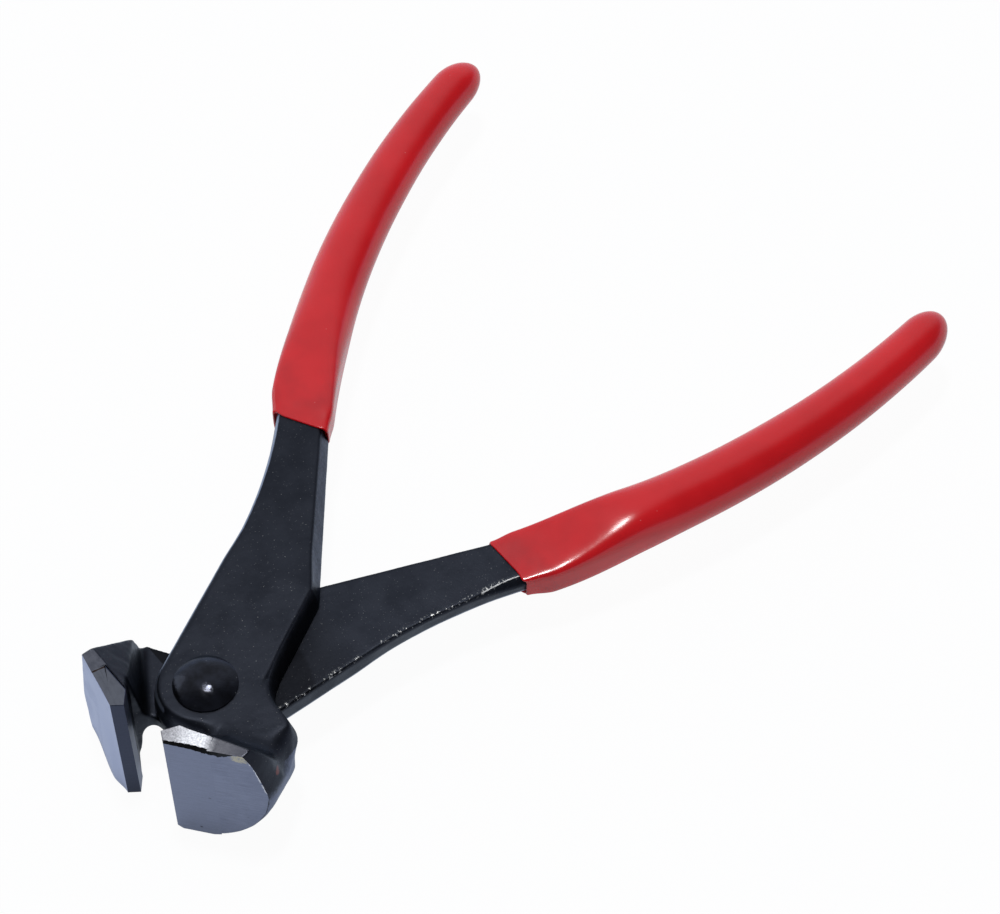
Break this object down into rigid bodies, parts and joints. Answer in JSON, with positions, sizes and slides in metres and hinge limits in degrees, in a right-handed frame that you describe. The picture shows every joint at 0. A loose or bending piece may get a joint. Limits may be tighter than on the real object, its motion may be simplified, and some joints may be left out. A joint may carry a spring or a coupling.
{
  "type": "end cutting pliers",
  "caption": "End-cutting pliers with forged black steel halves on a riveted lap joint, wide ground cutting edges across the nose, and curved handles in glossy red dipped grips.",
  "frame": {"origin": "on the ground under the middle of the part's box, with the jaws standing on Z = 0 and the rivet at Y = -80 mm", "axes": "+Z along the rivet, +Y from the jaws to the handles, +X to the right with the jaws towards the viewer"},
  "size_m": [0.1446, 0.1996, 0.034],
  "materials": {
    "forged_steel": "satin black oxide",
    "ground_steel": "ground bright",
    "rivet_steel": "satin black oxide",
    "red_vinyl": "glossy dipped vinyl"
  },
  "bodies": {
    "lower": {"lower_half": "forged_steel", "lower_cutting_tip": "ground_steel", "lower_grip": "red_vinyl", "pivot_rivet": "rivet_steel"},
    "upper": {"upper_half": "forged_steel", "upper_cutting_tip": "ground_steel", "upper_grip": "red_vinyl"}
  },
  "joints": [
    {"name": "jaw_pivot", "type": "hinge", "parent": "lower", "child": "upper", "pos_m": [0, -0.07997, 0.017], "axis": [0, 0, 1], "range_deg": [-29.6, 30]}
  ]
}
